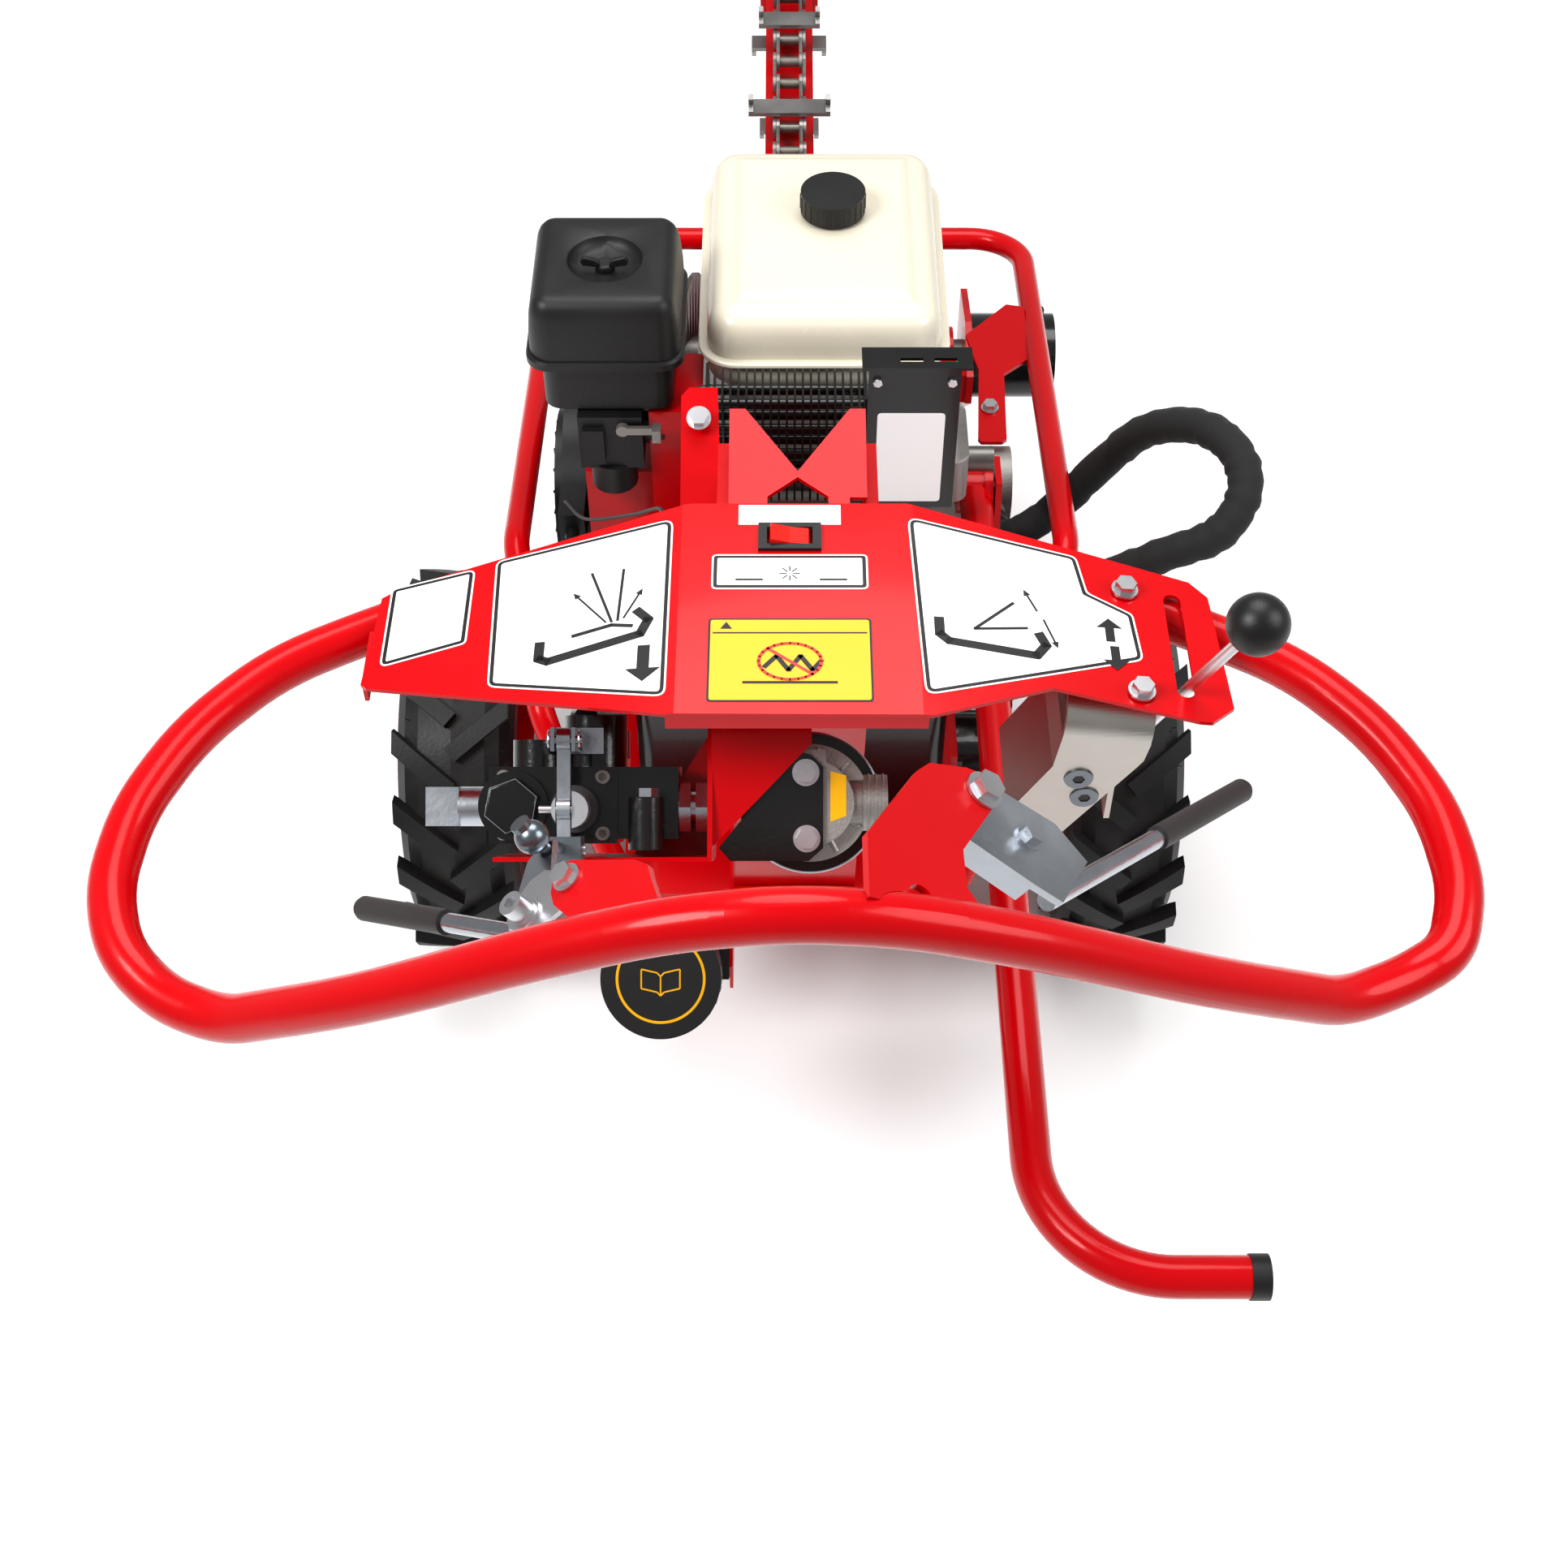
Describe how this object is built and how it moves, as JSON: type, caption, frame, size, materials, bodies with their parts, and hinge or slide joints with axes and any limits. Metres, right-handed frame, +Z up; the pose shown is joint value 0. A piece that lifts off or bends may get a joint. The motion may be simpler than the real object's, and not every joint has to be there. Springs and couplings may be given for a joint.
{
  "type": "walk-behind trencher",
  "caption": "Walk-behind hydraulic trencher: looped handlebar with control panel, engine, side-drive wheels and a chain boom that pivots down to dig.",
  "frame": {"origin": "centre of the overall bounding box, on the floor the wheels stand on", "axes": "+X to the operator's right, +Y forward from the operator towards the digging boom, +Z up"},
  "size_m": [0.91, 2.2475, 1.0622],
  "materials": {
    "red_paint": "gloss",
    "black_paint": "gloss",
    "cream_paint": "gloss",
    "black_plastic": "matte",
    "red_plastic": "gloss",
    "zinc_steel": "satin",
    "bright_steel": "gloss",
    "cast_alloy": "matte",
    "aluminium": "satin",
    "dark_steel": "satin",
    "tyre_rubber": "matte",
    "grip_rubber": "matte",
    "sleeve_fabric": "matte"
  },
  "bodies": {
    "chassis": {"chassis_frame": "red_paint", "mast": "red_paint", "console_bracket": "red_paint", "control_panel": "red_paint", "handlebar": "red_paint", "lever_brackets": "red_paint", "fasteners": "bright_steel", "switch_bezel": "black_plastic", "chain_valve": "black_paint", "valve_fittings": "zinc_steel", "filter_head": "cast_alloy", "filter_canister": "black_paint", "filter_plate": "black_paint", "direction_bracket": "aluminium", "drive_valve": "black_paint", "manual_tube": "black_plastic", "engine_block": "cast_alloy", "cooling_shroud": "red_paint", "recoil_housing": "black_plastic", "air_cleaner": "black_plastic", "carburettor": "black_plastic", "fuel_tank": "cream_paint", "muffler": "dark_steel", "muffler_shield": "black_paint", "oil_cooler": "black_paint", "side_rails": "red_paint", "hydraulic_motors": "black_paint", "oil_tank": "black_paint", "hydraulic_pump": "cast_alloy", "hose_sleeve": "sleeve_fabric", "ignition_wire": "grip_rubber"},
    "ignition_rocker": {"ignition_rocker": "red_plastic"},
    "valve_spool": {"valve_spool": "bright_steel"},
    "valve_bar": {"valve_bar": "zinc_steel"},
    "chain_lever": {"chain_lever": "zinc_steel", "chain_lever_grip": "grip_rubber"},
    "drive_lever": {"drive_lever": "zinc_steel", "drive_lever_grip": "grip_rubber"},
    "direction_lever": {"direction_lever": "bright_steel", "direction_knob": "black_plastic"},
    "manual_tube_lid": {"manual_tube_lid": "black_plastic"},
    "choke_lever": {"choke_lever": "cast_alloy"},
    "fuel_cap": {"fuel_cap": "black_plastic"},
    "starter_grip": {"starter_grip": "black_plastic"},
    "lift_lever": {"lift_lever": "red_paint", "lift_lever_cap": "black_plastic"},
    "lift_link": {"lift_link": "zinc_steel"},
    "boom": {"boom": "red_paint", "digging_chain": "dark_steel", "chain_cutters": "dark_steel"},
    "nose_roller": {"nose_roller": "dark_steel"},
    "head_shaft": {"head_shaft": "dark_steel", "auger": "dark_steel"},
    "left_wheel": {"left_tyre": "tyre_rubber", "left_rim": "red_paint"},
    "right_wheel": {"right_tyre": "tyre_rubber", "right_rim": "red_paint"},
    "left_front_wheel": {"left_front_wheel": "tyre_rubber"},
    "right_front_wheel": {"right_front_wheel": "tyre_rubber"},
    "chain_pull_rod": {"chain_pull_rod": "zinc_steel"}
  },
  "joints": [
    {"name": "boom_lift", "type": "hinge", "parent": "chassis", "child": "boom", "pos_m": [0.006, 0.28904, 0.3], "axis": [1, 0, 0], "range_deg": [-54, 0]},
    {"name": "lift_lever_pivot", "type": "hinge", "parent": "chassis", "child": "lift_lever", "pos_m": [0.186, -0.21096, 0.535], "axis": [1, 0, 0], "range_deg": [-18.2, 0.2]},
    {"name": "lift_link_pivot", "type": "hinge", "parent": "lift_lever", "child": "lift_link", "pos_m": [0.186, -0.17576, 0.3128], "axis": [1, 0, 0], "range_deg": [-0.4, 18.4]},
    {"name": "head_shaft_spin", "type": "hinge", "parent": "chassis", "child": "head_shaft", "pos_m": [0.006, 0.28904, 0.3], "axis": [1, 0, 0], "continuous": true},
    {"name": "nose_roller_spin", "type": "hinge", "parent": "boom", "child": "nose_roller", "pos_m": [0.006, 1.03769, 0.40521], "axis": [1, 0, 0], "continuous": true},
    {"name": "left_wheel_spin", "type": "hinge", "parent": "chassis", "child": "left_wheel", "pos_m": [-0.332, -0.27096, 0.203], "axis": [1, 0, 0], "continuous": true},
    {"name": "right_wheel_spin", "type": "hinge", "parent": "chassis", "child": "right_wheel", "pos_m": [0.344, -0.27096, 0.203], "axis": [1, 0, 0], "continuous": true},
    {"name": "left_front_wheel_spin", "type": "hinge", "parent": "chassis", "child": "left_front_wheel", "pos_m": [-0.212, 0.15904, 0.1], "axis": [1, 0, 0], "continuous": true},
    {"name": "right_front_wheel_spin", "type": "hinge", "parent": "chassis", "child": "right_front_wheel", "pos_m": [0.224, 0.15904, 0.1], "axis": [1, 0, 0], "continuous": true},
    {"name": "chain_lever_pivot", "type": "hinge", "parent": "chassis", "child": "chain_lever", "pos_m": [-0.149, -1.03896, 0.948], "axis": [-0.5736, 0, 0.8192], "range_deg": [-10, 14], "stiffness_Nm_per_rad": 1.5},
    {"name": "chain_rod_pivot", "type": "hinge", "parent": "chain_lever", "child": "chain_pull_rod", "pos_m": [-0.1522, -0.98996, 0.96651], "axis": [0.5625, -0.2067, -0.8006], "range_deg": [-11.7, 16.3]},
    {"name": "valve_bar_pivot", "type": "hinge", "parent": "chassis", "child": "valve_bar", "pos_m": [-0.149, -0.83983, 0.88333], "axis": [1, 0, 0], "range_deg": [-3.5, 4.9]},
    {"name": "valve_spool_slide", "type": "slide", "parent": "chassis", "child": "valve_spool", "axis": [0, -0.6428, 0.766], "range_m": [-0.004, 0.0029]},
    {"name": "drive_lever_pivot", "type": "hinge", "parent": "chassis", "child": "drive_lever", "pos_m": [0.1091, -0.98996, 1.0004], "axis": [0.5736, 0, 0.8192], "range_deg": [-18, 0], "stiffness_Nm_per_rad": 1.5},
    {"name": "direction_lever_pivot", "type": "hinge", "parent": "chassis", "child": "direction_lever", "pos_m": [0.247, -0.77096, 0.8], "axis": [1, 0, 0], "range_deg": [-33, 0]},
    {"name": "ignition_rocker_pivot", "type": "hinge", "parent": "chassis", "child": "ignition_rocker", "pos_m": [0.003, -0.69346, 0.928], "axis": [0, 1, 0], "range_deg": [-16, 0]},
    {"name": "choke_pivot", "type": "hinge", "parent": "chassis", "child": "choke_lever", "pos_m": [-0.152, -0.24296, 0.64], "axis": [0, -1, 0], "range_deg": [0, 35]},
    {"name": "fuel_cap_turn", "type": "hinge", "parent": "chassis", "child": "fuel_cap", "pos_m": [0.046, -0.03096, 0.745], "axis": [0, 0, 1], "range_deg": [0, 90]},
    {"name": "starter_pull", "type": "slide", "parent": "chassis", "child": "starter_grip", "axis": [0, -1, 0], "range_m": [0, 0.045], "stiffness_N_per_m": 150},
    {"name": "manual_lid_pull", "type": "slide", "parent": "chassis", "child": "manual_tube_lid", "axis": [0, -0.6428, 0.766], "range_m": [0, 0.03]}
  ],
  "couplings": [
    {"joint": "lift_lever_pivot", "follows": "boom_lift", "ratio": 0.33333},
    {"joint": "lift_link_pivot", "follows": "boom_lift", "ratio": -0.33333},
    {"joint": "valve_bar_pivot", "follows": "chain_lever_pivot", "ratio": 0.34236},
    {"joint": "valve_spool_slide", "follows": "chain_lever_pivot", "m_per_rad": -0.016091},
    {"joint": "chain_rod_pivot", "follows": "chain_lever_pivot", "ratio": 1.1524}
  ]
}
